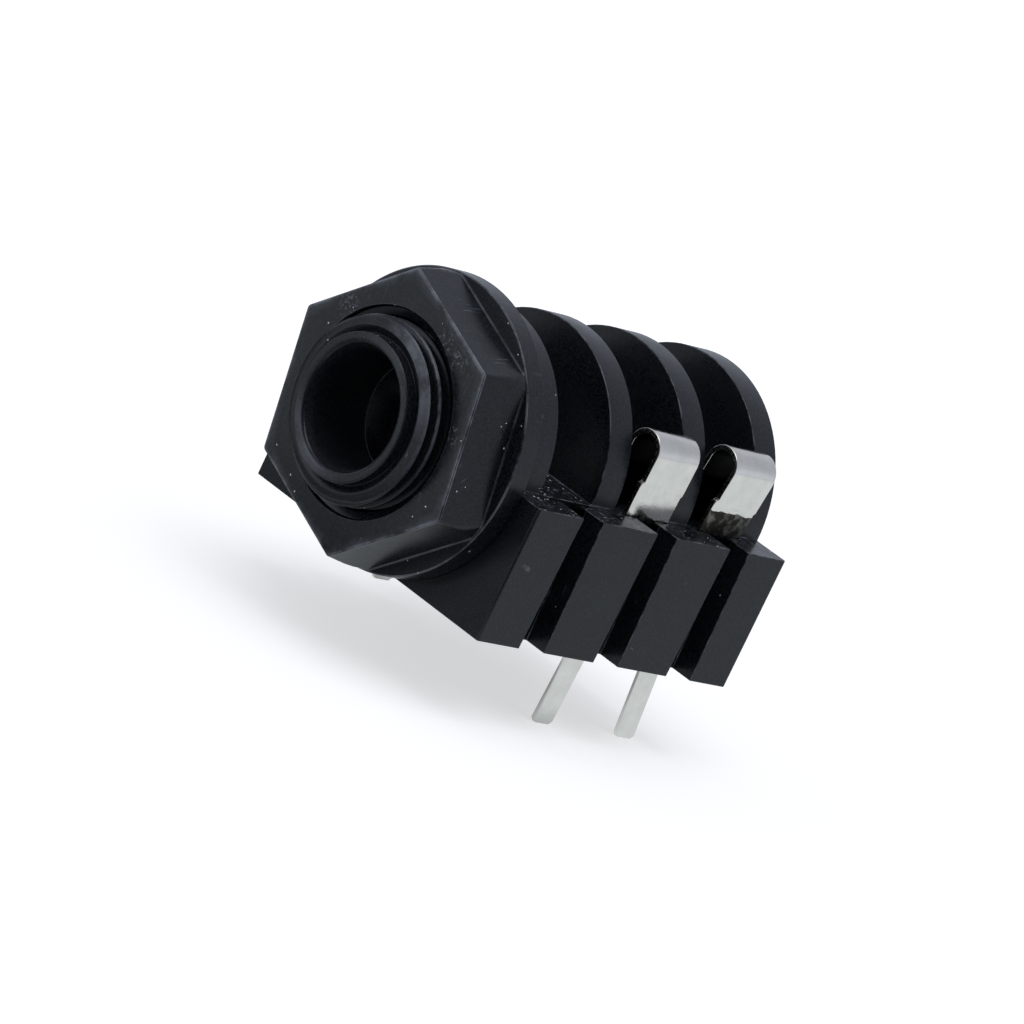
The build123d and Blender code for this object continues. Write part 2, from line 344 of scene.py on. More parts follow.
edge_plastic = two_tone(
    "rubbed_black_nylon_edge", "#15171a", "#5a5e66", {"Scale": per_mm(0.7), "Detail": 3},
    (0.42, 0.66), {"IOR": 1.5, "Specular IOR Level": 0.32, "Roughness": 0.25})
print("edge:", edge_plastic.name)


# %% [markdown]
# ## Nickel plated spring strip
# The contacts are stamped from thin spring bronze and plated with nickel. Rolled strip has a
# bright, slightly wavy face that mirrors the room softly. The sheared edges are different: the
# punch leaves a burnished band and a torn, darker one. Inside a tight bend the strip is painted
# near black, as the shade that falls there.

# %% Plated strip, its sheared edge and the painted shade inside its bends
def painted_ledge_reflection_mask(tree, place):
    """Painted reflection of the dark ledge: a mottled dark band at the foot of an outer leg, where
    Z is under a limit that wavers by 0.4 mm with a noise. The limit starts at -0.2 mm at the front
    spring (Y under 13 mm), where the band hardly shows, and at 1.15 mm at the rear one (Y over 15
    mm)."""
    where = add_node(tree, "SeparateXYZ", links={"Vector": place})
    spots = add_node(tree, "TexNoise", {"Scale": per_mm(0.55), "Detail": 3, "Roughness": 0.55},
        {"Vector": place})
    lowest = add_node(tree, "MapRange",
        {"From Min": 13 * MM, "From Max": 15 * MM, "To Min": -0.2 * MM, "To Max": 1.15 * MM},
        {"Value": where.outputs["Y"]})
    limit = add_node(tree, "Math", {1: 0.4 * MM}, {0: spots, 2: lowest}, operation="MULTIPLY_ADD")
    over_ledge = add_node(tree, "Math", {1: (LEDGE_Z - 0.1) * MM}, {0: where.outputs["Z"]},
        operation="GREATER_THAN")
    outside = add_node(tree, "Math", {1: 7.5 * MM}, {0: where.outputs["X"]},
        operation="GREATER_THAN")
    mottled = add_node(tree, "MapRange", {"From Min": 0.64, "From Max": 0.48, "To Min": 0.78},
        {"Value": spots})
    mask = add_node(tree, "Math", links={0: where.outputs["Z"], 1: limit}, operation="LESS_THAN")
    for factor in (over_ledge, outside, mottled):
        mask = add_node(tree, "Math", links={0: mask, 1: factor}, operation="MULTIPLY")
    return mask


def plated_face(name):
    """Bright nickel: its roughness varies with a cloud of 1.2 mm, and a low bump of 1.5 mm makes
    its mirror image waver. A painted reflection of the dark ledge darkens it at the rear spring's
    foot."""
    material, tree = new_material(name)
    place = add_node(tree, "TexCoord").outputs["Object"]
    cloud = add_node(tree, "TexNoise", {"Scale": per_mm(1.2), "Detail": 5, "Roughness": 0.65},
        {"Vector": place})
    wave = add_node(tree, "TexNoise", {"Scale": per_mm(1.5), "Detail": 2}, {"Vector": place})
    grain = add_node(tree, "TexNoise", {"Scale": per_mm(0.12), "Detail": 2}, {"Vector": place})
    painted_ledge_reflection = painted_ledge_reflection_mask(tree, place)
    clean = add_node(tree, "Mix", {"A": linear("#e9e6df"), "B": linear("#ccc9c0")},
        {"Factor": cloud}, data_type="RGBA")
    # Painted reflection: the dark ledge mirrored at the foot of the leg, as a dark brown
    colour = add_node(tree, "Mix", {"B": linear("#36332e")}, {"Factor": painted_ledge_reflection, "A": clean},
        data_type="RGBA")
    polish = add_node(tree, "MapRange",
        {"From Min": 0.3, "From Max": 0.7, "To Min": 0.12, "To Max": 0.24}, {"Value": cloud})
    gloss = add_node(tree, "Mix", {"B": 0.4}, {"Factor": painted_ledge_reflection, "A": polish})
    heights = add_node(tree, "Math", {1: 0.3}, {0: grain, 2: wave}, operation="MULTIPLY_ADD")
    skin = add_node(tree, "Bump", {"Strength": 0.25, "Distance": 0.05 * MM}, {"Height": heights})
    shader = add_node(tree, "BsdfPrincipled", {"Metallic": 1.0},
        {"Base Color": colour, "Roughness": gloss, "Normal": skin})
    add_node(tree, "OutputMaterial", links={"Surface": shader})
    return material


strip_face = plated_face("nickel_plated_rolled_strip")
# Bright and dark brown specks of 0.13 mm make the torn edge sparkle darkly beside the face
strip_edge = two_tone(
    "sheared_strip_edge", "#2b2723", "#a8a398",
    {"Scale": per_mm(0.13), "Detail": 3, "Roughness": 0.7}, (0.46, 0.64),
    {"Metallic": 1.0, "Roughness": 0.42}, bump=0.6)
# Painted shade: a dull, near-black brown with lighter streaks sets the bend's inside off from its
# bright outside
strip_inside_painted_shade = two_tone(
    "strip_inside_bend_painted_shade", "#060505", "#181614", {"Scale": per_mm(0.5), "Detail": 4},
    (0.0, 1.0), {"Metallic": 1.0, "Roughness": 0.5})
print("metals:", strip_face.name, strip_edge.name, strip_inside_painted_shade.name)

# %% [markdown]
# ## The flange nut
# The nut is moulded too: a round flange, a hexagon that spreads a little towards it so that it
# leaves the mould, and a countersunk threaded hole. Seen from its axis it is star shaped: every
# ray from the axis meets the outside once. So the whole nut is one surface over the angle and
# the way round its section.

# %% Nut: radius of the rounded hexagon
NUT_REAR = -0.05
NUT_FLANGE_FRONT = NUT_REAR - 1.45
NUT_FRONT = NUT_REAR - 4.5
NUT_FLANGE_R = 8.9
NUT_APOTHEM = 7.4
NUT_DRAFT = np.radians(8.0)
NUT_CORNER_R = 0.3
NUT_TURN = np.radians(40.6)
SIXTH = np.pi / 3
# Width of the rounding along the nut's edges, where they are rubbed
RUB = 0.07
# The hexagon's corners nearly reach the flange's rounding: the least flat face between them
NUT_LEDGE = 0.02


def hexagon_radius(angle, y):
    """Radius of the drafted hexagon: apothem / cos(angle from the nearest flat's middle) on a
    flat, and the circle of the corner's rounding near a corner. It stops short of the flange."""
    apothem = NUT_APOTHEM + np.tan(NUT_DRAFT) * (y - NUT_FRONT)
    off_corner = np.abs((angle - NUT_TURN + SIXTH / 2) % SIXTH - SIXTH / 2)
    centre = (apothem - NUT_CORNER_R) / np.cos(SIXTH / 2)
    reach = np.arctan2(NUT_CORNER_R * np.sin(SIXTH / 2),
                       centre + NUT_CORNER_R * np.cos(SIXTH / 2))
    flat = apothem / np.cos(SIXTH / 2 - off_corner)
    chord = np.sqrt(np.maximum(NUT_CORNER_R ** 2 - (centre * np.sin(off_corner)) ** 2, 0))
    rounded = centre * np.cos(off_corner) + chord
    widest = NUT_FLANGE_R - RUB - 2 * NUT_LEDGE
    return np.minimum(np.where(off_corner < reach, rounded, flat), widest)


# %% Nut: the section carried round the axis
NUT_HOLE_R = BUSH_R + 0.08
NUT_MOUTH_R = BUSH_R + 0.62
# How far in and how deep the mouth goes: a small round, a step, and a shallow cone to the thread
NUT_MOUTH_STEP = [(0.0, 0.03), (0.02, 0.07), (0.03, 0.27), (0.06, 0.31), (0.3, 0.38),
                  (0.5, 0.44), (0.54, 0.5)]
# Fillet between flange and hexagon
NUT_FOOT = 0.08
# The thread's groove is deepest in its middle and ends 1 / 2.6 of a pitch to either side
GROOVE_DEPTH, GROOVE_SLOPE = 0.26, 2.6


def nut_angles():
    """Angles round the nut, crowded at the six corners: each sixth is filled by a cubic that is
    flat at its middle."""
    u = np.linspace(-1, 1, 61)[:-1]
    crowded = 0.3 * u + 0.7 * u ** 3
    return (NUT_TURN + (np.arange(6)[:, None] + crowded[None, :] / 2) * SIXTH).ravel()


def between(start, end):
    """Rows from one (radius, y) pair to another, crowded at both ends so that a flat face shades
    flat: start + t * (end - start)."""
    t = np.array([0.03, 0.1, 0.35, 0.65, 0.9, 0.97])[None, :]
    (r0, y0), (r1, y1) = start, end
    return r0 + t * (r1 - r0), y0 + t * (y1 - y0)


def nut_surface():
    """Grid over angle and section. The section goes from the hole's rear edge out along the
    seat, round the flange, in to the hexagon, up a flat, across the front and down the mouth
    into the threaded hole. Each step of it is a radius, a y and how far it is rubbed."""
    angle = nut_angles()[:, None]
    seat_in, seat_out = (NUT_HOLE_R + RUB, NUT_REAR), (NUT_FLANGE_R - RUB, NUT_REAR)
    rim_rear, rim_front = (NUT_FLANGE_R, NUT_REAR - RUB), (NUT_FLANGE_R, NUT_FLANGE_FRONT + RUB)
    face_out = (NUT_FLANGE_R - RUB, NUT_FLANGE_FRONT)
    foot = hexagon_radius(angle, NUT_FLANGE_FRONT) + NUT_FOOT
    foot_out = (np.minimum(foot, NUT_FLANGE_R - RUB - NUT_LEDGE), NUT_FLANGE_FRONT)
    flat_start = NUT_FLANGE_FRONT - NUT_FOOT
    flat_share = np.array([0.02, 0.1, 0.3, 0.5, 0.7, 0.9, 0.98])[None, :]
    flat_y = flat_start + flat_share * (NUT_FRONT + RUB - flat_start)
    crown = hexagon_radius(angle, NUT_FRONT)
    crown_in, mouth_out = (crown - RUB, NUT_FRONT), (NUT_MOUTH_R + RUB / 2, NUT_FRONT)
    throat_y = NUT_FRONT + NUT_MOUTH_STEP[-1][1]
    groove_y = np.linspace(throat_y + 0.02, NUT_REAR - RUB, 120)[None, :]
    turns = groove_y / THREAD_PITCH + angle / (2 * np.pi)
    groove = GROOVE_DEPTH * np.clip(1 - GROOVE_SLOPE * np.abs(turns % 1 - 0.5), 0, 1)
    third = RUB / 3
    steps = [
        (*seat_in, 0), (*between(seat_in, seat_out), 0), (*seat_out, 0),
        (NUT_FLANGE_R - third, NUT_REAR - third, 0), (*rim_rear, 0),
        (*between(rim_rear, rim_front), 0), (*rim_front, 0.7),
        (NUT_FLANGE_R - third, NUT_FLANGE_FRONT + third, 0.2), (*face_out, 0.8),
        (*between(face_out, foot_out), 0), (*foot_out, 0),
        (hexagon_radius(angle, flat_start), flat_start, 0.4),
        (hexagon_radius(angle, flat_y), flat_y, 0),
        (hexagon_radius(angle, NUT_FRONT + RUB), NUT_FRONT + RUB, 1.0),
        (crown - third, NUT_FRONT + third, 0.15), (*crown_in, 1.0),
        (*between(crown_in, mouth_out), np.array([0.5, 0.15, 0, 0, 0, 0])), (*mouth_out, 0.3),
        *((NUT_MOUTH_R - inward, NUT_FRONT + deep, 0) for inward, deep in NUT_MOUTH_STEP),
        (NUT_HOLE_R + groove, groove_y, 0),
    ]
    level = 0 * angle
    columns = [np.broadcast_arrays(level + r, level + y, level + rub_and_highlight) for r, y, rub_and_highlight in steps]
    radius, y, rub_and_highlight = (np.concatenate(parts, axis=1) for parts in zip(*columns))
    grid = np.stack([radius * np.cos(angle), y, radius * np.sin(angle)], axis=-1)
    piece = surface("flange_nut", grid, closed_rows=True, sharp_degrees=24)
    store_rub_and_highlight(piece.data, rub_and_highlight)
    return piece


flange_nut = nut_surface()
flange_nut.data.materials.append(nut_plastic)
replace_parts(flange_nut, "nut")
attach(flange_nut, "nut")

# %% [markdown]
# ## The thread
# The body is one moulding, but the plain solid leaves out the helical ridge on its bush. A
# thread is a cylinder whose radius follows a helix: one formula over the whole grid. The same
# grid goes on over the nose and into the bore, so that no seam shows at the lip.

# %% Thread: a cylinder whose radius follows a helix
THREAD_ROOT_R = 4.78
# Where on the turn the ridge starts, and half the widths of its crest and root in pitches
THREAD_START = 0.85
CREST_HALF, ROOT_HALF = 0.09, 0.07


def thread_ridge(angle, y):
    """Height of the ridge from 0 at the root to 1 at the crest. Along the axis it is a trapezium
    one pitch wide, with eased corners, and it moves one pitch a turn, right-handed."""
    phase = (y / THREAD_PITCH + angle / (2 * np.pi) + THREAD_START) % 1
    off_crest = np.abs(phase - 0.5)
    rise = np.clip((0.5 - ROOT_HALF - off_crest) / (0.5 - ROOT_HALF - CREST_HALF), 0, 1)
    return 0.5 * rise + 0.5 * rise ** 2 * (3 - 2 * rise)


# %% Bush: thread, first flank, groove, ring, mouth and bore in one grid
BUSH_COLUMNS, THREAD_ROWS = 288, 240
NOSE_R = 4.31
MOUTH_R = 3.66
BORE_R = 3.45
COLLAR_END = -1.4
# Pairs of radius and distance from the nose: the thread's first flank ends at a lip, a groove
# runs round behind the nose's ring, and the mouth is rounded into the bore
LIP_R, LIP_FROM_NOSE = 4.8, 0.52
GROOVE_PROFILE = [
    (LIP_R - 0.04, LIP_FROM_NOSE + 0.01), (4.5, 0.68), (4.34, 0.78), (NOSE_R - 0.02, 0.76),
    (NOSE_R - 0.02, 0.5), (NOSE_R - 0.01, 0.12), (NOSE_R, 0.06), (NOSE_R - 0.02, 0.02),
    (NOSE_R - 0.06, 0.0)]
MOUTH_PROFILE = [
    (NOSE_R - 0.1, 0.0), (MOUTH_R + 0.36, 0.0), (MOUTH_R + 0.3, 0.005), (MOUTH_R + 0.2, 0.025),
    (MOUTH_R + 0.1, 0.065), (MOUTH_R + 0.03, 0.12), (MOUTH_R, 0.19), (MOUTH_R - 0.08, 0.34),
    (BORE_R + 0.01, 0.6), (BORE_R, 0.7)]
# From this step of the mouth's profile on, the wall is the bore's dull plastic
BORE_STEP = 6
# Distances from the nose at which the first flank reaches the crest and the ridge takes over
FLANK_END, STARTED, START_LENGTH = 0.62, 0.66, 0.1
# Distance before the panel at which the thread starts to run out, and how long that takes
RUN_OUT, RUN_OUT_LENGTH = 0.35, 0.3
# The rub is partly wear and partly a painted highlight: it is strongest on the side turned to the
# upper right, where the light falls. On the thread it keeps to a band under the crest's radius, and
# grows towards the nose from where it starts along Y
HIGHLIGHT_AND_RUB_TOWARDS = np.radians(60)
CREST_BAND, RUB_AND_HIGHLIGHT_BEFORE, RUB_AND_HIGHLIGHT_FADE = 0.06, -4.2, 0.5


def bush_surface():
    """Grid over the angle and the way along the bush's section, from the panel over the thread and
    its first flank through groove, ring and mouth to the collar's end. On the thread the radius is
    the root's plus the ridge's height, capped by the flank; beyond it the section is the same all
    round. Gives the grid, its rub and painted highlights, and the first row of the bore."""
    angle = np.linspace(0, 2 * np.pi, BUSH_COLUMNS, endpoint=False)[None, :]
    y = np.linspace(-0.03, LIP_FROM_NOSE - BUSH_LENGTH, THREAD_ROWS)[:, None]
    tooth = THREAD_ROOT_R + (BUSH_R - THREAD_ROOT_R) * thread_ridge(angle, y)
    flank = np.interp(y + BUSH_LENGTH, [LIP_FROM_NOSE, FLANK_END], [LIP_R, BUSH_R])
    flank_only = np.clip((STARTED - (y + BUSH_LENGTH)) / START_LENGTH, 0, 1)
    radius = np.minimum(tooth + (BUSH_R - tooth) * flank_only, flank)
    near_panel = np.clip((y + RUN_OUT) / RUN_OUT_LENGTH, 0, 1)
    radius = radius + (BUSH_R - radius) * near_panel

    # Painted highlight and rub: lighter on the side turned to the upper right, where the light
    # falls
    turned = np.cos(angle - HIGHLIGHT_AND_RUB_TOWARDS)
    forward = np.clip((RUB_AND_HIGHLIGHT_BEFORE - y) / RUB_AND_HIGHLIGHT_FADE, 0, 1)
    crest_rub_and_highlight = np.where(radius > BUSH_R - CREST_BAND, forward, 0) * np.clip(0.8 * turned, 0, 1)
    flank_rub_and_highlight = 0.7 * flank_only * np.clip(2.4 * turned - 1.4, 0, 1)

    collar = BUSH_LENGTH + COLLAR_END
    bore_steps = (*np.linspace(0.8, collar - 0.12, 12), collar - 0.1, collar - 0.02)
    inner = np.array(GROOVE_PROFILE + MOUTH_PROFILE + [(BORE_R, step) for step in bore_steps])
    # The nose ring's front is lighter at its left and a little at its upper right
    ring_front = (inner[:, 1:] < 0.03) & (inner[:, :1] > MOUTH_R)
    inner_rub_and_highlight = ring_front * np.interp(turned, [-1, -0.6, 0.5, 1], [0.35, 0, 0, 0.18])
    # A painted highlight: the collar's far edge is drawn lit, as it catches the light
    inner_rub_and_highlight[-2:] = 1.0

    radius = np.vstack([radius, inner[:, :1] + 0 * angle])
    bore_row = len(y) + len(GROOVE_PROFILE) + BORE_STEP
    y = np.vstack([y + 0 * angle, inner[:, 1:] - BUSH_LENGTH + 0 * angle])
    rub_and_highlight = np.vstack([np.maximum(crest_rub_and_highlight, flank_rub_and_highlight), inner_rub_and_highlight])
    print("bush rows:", len(y), "of them in the bore:", len(y) - bore_row)
    return np.stack([radius * np.cos(angle), y, radius * np.sin(angle)], axis=-1), rub_and_highlight, bore_row


# %% [markdown]
# ## The body
# Its block, ribs and passage come from the CAD, and only their edges need the small rounding
# that every moulding has. So the bush is taken off a copy of the CAD mesh, the grid from above
# is put in its place, and the open rims are bridged.

# %% Body: copy of the moulding with its bush exchanged
SKIN, EDGE, BORE = range(3)
EDGE_ROUNDING = 0.05
# The ribs' rims carry narrow bevels, which lie at least this far off the axis
RIM_BEVEL_R = 7.6


def on_bush(face):
    """True for the bush's faces, outside and inside: all that lies before the collar's end."""
    return face.calc_center_median().y < (COLLAR_END - 0.05) * MM


def open_edges(bm, at_panel):
    """Edges that border one face only, those at the panel or those at the collar's end."""
    half_way = COLLAR_END / 2 * MM
    return [edge for edge in bm.edges
            if len(edge.link_faces) == 1 and (edge.verts[0].co.y > half_way) == at_panel]


def is_outer_corner(edge):
    """True for an edge off the thread and the nose whose faces turn by more than 50 degrees."""
    on_thread = all(v.co.y < -0.01 * MM and np.hypot(v.co.x, v.co.z) > (BORE_R + 0.1) * MM
                    for v in edge.verts)
    return not on_thread and edge.calc_face_angle(0) > np.radians(50)


def is_rim_bevel(face):
    """True for the bevels of the ribs' rims: they face half along the axis."""
    middle = face.calc_center_median()
    far_out = middle.y > 2 * MM and np.hypot(middle.x, middle.z) > RIM_BEVEL_R * MM
    return far_out and 0.5 < abs(face.normal.y) < 0.9


def bush_mesh():
    """The bush's grid as an open mesh that knows its rub and painted highlights and its two
    plastics.
    """
    grid, rub_and_highlight, bore_row = bush_surface()
    rows, columns, _ = grid.shape
    mesh = bpy.data.meshes.new("bush")
    mesh.from_pydata((grid.reshape(-1, 3) * MM).tolist(), [], grid_faces(rows, columns).tolist())
    in_bore = np.arange((rows - 1) * columns) >= bore_row * columns
    mesh.polygons.foreach_set("material_index", np.where(in_bore, BORE, SKIN).astype(np.int32))
    store_rub_and_highlight(mesh, rub_and_highlight)
    return mesh


def body_mesh():
    """Merged copy of the body with the threaded bush bridged in and its edges rounded."""
    bm = bmesh.new()
    bm.from_mesh(nodes["housing"].data)
    bmesh.ops.remove_doubles(bm, verts=bm.verts, dist=0.0005 * MM)
    bmesh.ops.dissolve_limit(bm, angle_limit=np.radians(0.5), verts=bm.verts, edges=bm.edges)
    bmesh.ops.delete(bm, geom=[face for face in bm.faces if on_bush(face)], context="FACES")
    bm.verts.layers.float.new("rub_and_highlight")
    bush = bush_mesh()
    bm.from_mesh(bush)
    bpy.data.meshes.remove(bush)
    for at_panel in (True, False):
        bmesh.ops.bridge_loops(bm, edges=open_edges(bm, at_panel))
        print("open edges after a bridge:", len(open_edges(bm, at_panel)))
    bmesh.ops.recalc_face_normals(bm, faces=bm.faces)
    for face in bm.faces:
        if is_rim_bevel(face):
            face.material_index = EDGE
    edges = [edge for edge in bm.edges if len(edge.link_faces) == 2 and is_outer_corner(edge)]
    print("rounded edges:", len(edges))
    bmesh.ops.bevel(bm, geom=edges, offset=EDGE_ROUNDING * MM, segments=2, profile=0.5,
                    affect="EDGES", clamp_overlap=False, material=EDGE)
    mesh = bpy.data.meshes.new("moulded_body")
    bm.to_mesh(mesh)
    bm.free()
    return mesh


moulded_body = new_object("moulded_body", body_mesh())
moulded_body.data.shade_smooth()
for material in (body_plastic, edge_plastic, bore_plastic):
    moulded_body.data.materials.append(material)
weighted = moulded_body.modifiers.new("flat_faces_shade_flat", "WEIGHTED_NORMAL")
weighted.weight = 80
print("body faces:", len(moulded_body.data.polygons))
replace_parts(moulded_body, "housing")
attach(moulded_body, "socket_body")


# %% [markdown]
# ## Folded contacts
# Each contact is stamped flat and then folded: a pin, a wider foot that is pressed into its
# slot, and a spring. So it is modelled the same way, as a thin rounded rectangle carried along
# the fold line. Where the blank is narrower or wider, the rectangle's two ends move.

# %% Path helpers
def arc_about(centre, start, turn, count):
    """Points of an arc: the vector from centre to start is turned by growing angles up to turn."""
    a = np.linspace(0, turn, count)[:, None]
    x, z = np.asarray(start) - np.asarray(centre)
    turned = np.hstack([x * np.cos(a) - z * np.sin(a), x * np.sin(a) + z * np.cos(a)])
    return np.asarray(centre) + turned


def rounded_corner(before, corner, after, radius, count=14):
    """Arc that touches both lines of a corner: its ends lie radius * tan(half the turn) off it."""
    before, corner, after = map(np.asarray, (before, corner, after))
    arriving = (corner - before) / np.linalg.norm(corner - before)
    leaving = (after - corner) / np.linalg.norm(after - corner)
    turn = np.arctan2(arriving[0] * leaving[1] - arriving[1] * leaving[0], arriving @ leaving)
    first = corner - arriving * radius * np.tan(abs(turn) / 2)
    side = np.sign(turn) * np.array([-arriving[1], arriving[0]])
    return arc_about(first + side * radius, first, turn, count)


# %% The strip carried along its fold line
STRIP = 0.32
BASE_BOTTOM = -8.45
LEG_CORNER, PIN_CORNER = 0.05, 0.1
# Quads of the section: it has five points a corner, so 4 and 14 are the two faces of the strip,
# and 9 and 19 its two edges
FACE_LEFT, FRONT_EDGE, FACE_RIGHT, REAR_EDGE = 4, 9, 14, 19


def strip_section(front, rear, corner):
    """Rounded rectangle of the strip's thickness between two edges: (across the strip, off its
    middle) pairs. Each corner is a quarter circle."""
    off_middle = STRIP / 2 - corner
    centres = [(rear - corner, off_middle), (front + corner, off_middle),
               (front + corner, -off_middle), (rear - corner, -off_middle)]
    parts = []
    for k, (y, n) in enumerate(centres):
        a = np.radians([0, 22.5, 45, 67.5, 90]) + k * np.pi / 2
        parts.append(np.stack([y + corner * np.cos(a), n + corner * np.sin(a)], axis=-1))
    return np.concatenate(parts)


def folded_strip(name, line, edges, inside, inside_face):
    """Carries the section along line, rows of X and Z, between edges, rows of front and rear Y. The
    off-middle direction is square to the line's own, in the XZ plane. From row inside on, the face
    numbered inside_face lies inside the bend and gets its painted shade."""
    ahead = np.gradient(line, axis=0)
    ahead = ahead / np.linalg.norm(ahead, axis=1, keepdims=True)
    side = np.stack([-ahead[:, 1], ahead[:, 0]], axis=-1)
    corners = np.where(line[:, 1] < BASE_BOTTOM + 0.01, PIN_CORNER, LEG_CORNER)
    section = np.stack([strip_section(a, b, c) for (a, b), c in zip(edges, corners)])
    x = line[:, None, 0] + section[:, :, 1] * side[:, None, 0]
    z = line[:, None, 1] + section[:, :, 1] * side[:, None, 1]
    grid = np.stack([x, section[:, :, 0], z], axis=-1)
    piece = surface(name, grid, closed_rows=False, sharp_degrees=50)
    for material in (strip_face, strip_edge, strip_inside_painted_shade):
        piece.data.materials.append(material)
    index = np.zeros((len(line) - 1, section.shape[1]), np.int32)
    above = line[:-1, 1] > LEDGE_Z - 0.05
    index[above, FRONT_EDGE] = index[above, REAR_EDGE] = 1
    # Material 2 paints the shade inside the bend
    index[inside:, inside_face] = 2
    piece.data.polygons.foreach_set("material_index", np.append(index.ravel(), (0, 0)))
    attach(piece, "socket_body")
    return piece


# %% Pin and foot, the same on every contact
ROW_X = 8.1
GAP_WIDTH = 4.4
SECOND_GAP, THIRD_GAP = 8.7, 15.05
PIN_WIDTH, PIN_BEVEL = 1.6, 0.2
FOOT_LOW = LEDGE_Z - 3.0
# How far the foot stays from the front and the rear of its gap
FOOT_FRONT, FOOT_REAR = 0.6, 0.15
# Two rows this far above and below a place make a sharp step there
STEP = 0.01


def pin_and_foot(side, gap, pin_length, lean):
    """Fold line and edges from the pin's tip up to the ledge: the pin is bevelled at its tip and
    leans, and the foot is wider."""
    centre, half = gap + GAP_WIDTH / 2, PIN_WIDTH / 2
    tip = BASE_BOTTOM - pin_length
    front, rear = gap + FOOT_FRONT, gap + GAP_WIDTH - FOOT_REAR
    table = np.array([
        (tip, centre - half + PIN_BEVEL + lean, centre + half - PIN_BEVEL + lean),
        (tip + PIN_BEVEL, centre - half + lean, centre + half + lean),
        (BASE_BOTTOM, centre - half, centre + half),
        (FOOT_LOW - STEP, centre - half, centre + half),
        (FOOT_LOW + STEP, front, rear),
        (LEDGE_Z - 2 * STEP, front, rear),
    ])
    line = np.stack([np.full(len(table), side * ROW_X), table[:, 0]], axis=-1)
    return line, table[:, 1:]


# %% [markdown]
# ## Plug springs
# A leg stands up from the ledge, narrows at a notch, turns back in a hairpin bend and comes down
# beside the plug, where its crest bears on the shaft. On the real object the two don't stand
# alike, so height and lean are given for each.

# %% Plug springs
PLUG_PIN = 5.0
LEG_FRONT, LEG_REAR = 0.8, 0.05
NOTCH_HEIGHT, SHOULDER_HEIGHT = 2.1, 1.75
LOOP_R, INNER_BEND_R = 1.1, 0.9
ELBOW_DROP = 1.3
# The crest reaches 0.15 mm into the plug's way, and the free end lies below it and further out
PLUG_R = 3.175
CREST_X, CREST_Z = PLUG_R - 0.15 + STRIP / 2, 0.3
END_OUT, END_DOWN = 0.95, 4.9
FREE_END = (CREST_X + END_OUT, CREST_Z - END_DOWN)


def plug_spring(name, gap, pin_lean, loop_height, loop_lean):
    """Foot, leg with its notch, hairpin bend, and the inner leg with the crest that bears on the
    plug. The fold line is made of straight parts and arcs that touch them."""
    foot_line, foot_edges = pin_and_foot(1, gap, PLUG_PIN, pin_lean)
    foot_front = foot_edges[-1, 0]
    leg_front, leg_rear = gap + LEG_FRONT, gap + GAP_WIDTH - LEG_REAR
    notch, shoulder = LEDGE_Z + NOTCH_HEIGHT, LEDGE_Z + SHOULDER_HEIGHT
    leg_top = np.array([ROW_X + loop_lean, LEDGE_Z + loop_height - LOOP_R])
    leg = np.array([
        (shoulder - 0.06, *foot_edges[-1]),
        (shoulder + 0.04, foot_front, leg_rear),
        (notch - 0.06, foot_front, leg_rear),
        (notch + 0.08, leg_front, leg_rear),
    ])
    slope = leg_top - (ROW_X, LEDGE_Z)
    leg_x = ROW_X + slope[0] / slope[1] * (leg[:, 0] - LEDGE_Z)
    leg_line = np.stack([leg_x, leg[:, 0]], axis=-1)
    slope = slope / np.linalg.norm(slope)
    hairpin = arc_about(leg_top + np.array([-slope[1], slope[0]]) * LOOP_R, leg_top, np.pi, 56)
    elbow = hairpin[-1] - slope * ELBOW_DROP
    crest = (CREST_X, CREST_Z)
    bend = rounded_corner(hairpin[-1], elbow, crest, INNER_BEND_R)
    knee = rounded_corner(elbow, crest, FREE_END, INNER_BEND_R)
    upper_leg = np.linspace(leg_line[-1] + slope * 0.2, leg_top, 3, endpoint=False)
    line = np.vstack([foot_line, leg_line, upper_leg, hairpin, bend, knee, [FREE_END]])
    edges = np.vstack([foot_edges, leg[:, 1:]])
    rest = np.tile((leg_front, leg_rear), (len(line) - len(edges), 1))
    return folded_strip(name, line, np.vstack([edges, rest]), len(edges), FACE_LEFT)


# The pin's lean along Y, the loop's height over the ledge and its lean outwards
for name, node, gap, *shape in [
        ("sleeve_contact_spring", "sleeve_spring", SECOND_GAP, -0.25, 4.75, 0.12),
        ("tip_contact_spring", "tip_spring", THIRD_GAP, 0.55, 4.8, 0.45)]:
    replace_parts(plug_spring(name, gap, *shape), node)


# %% [markdown]
# ## Break contacts
# Without a plug each spring's free end rests on a second contact, and a plug lifts it off. It
# comes from the far row, bends over the ledge, goes down into the pocket and under the plug, and
# turns up just short of the spring.

# %% Break contacts
BREAK_PIN = 4.05
BREAK_WIDTH = 2.6
BREAK_HEIGHT = 1.5
BREAK_BEND_R = 0.8
BREAK_RUN_Z, BREAK_TIP_Z = -5.65, -3.9
BREAK_GAP = 0.05


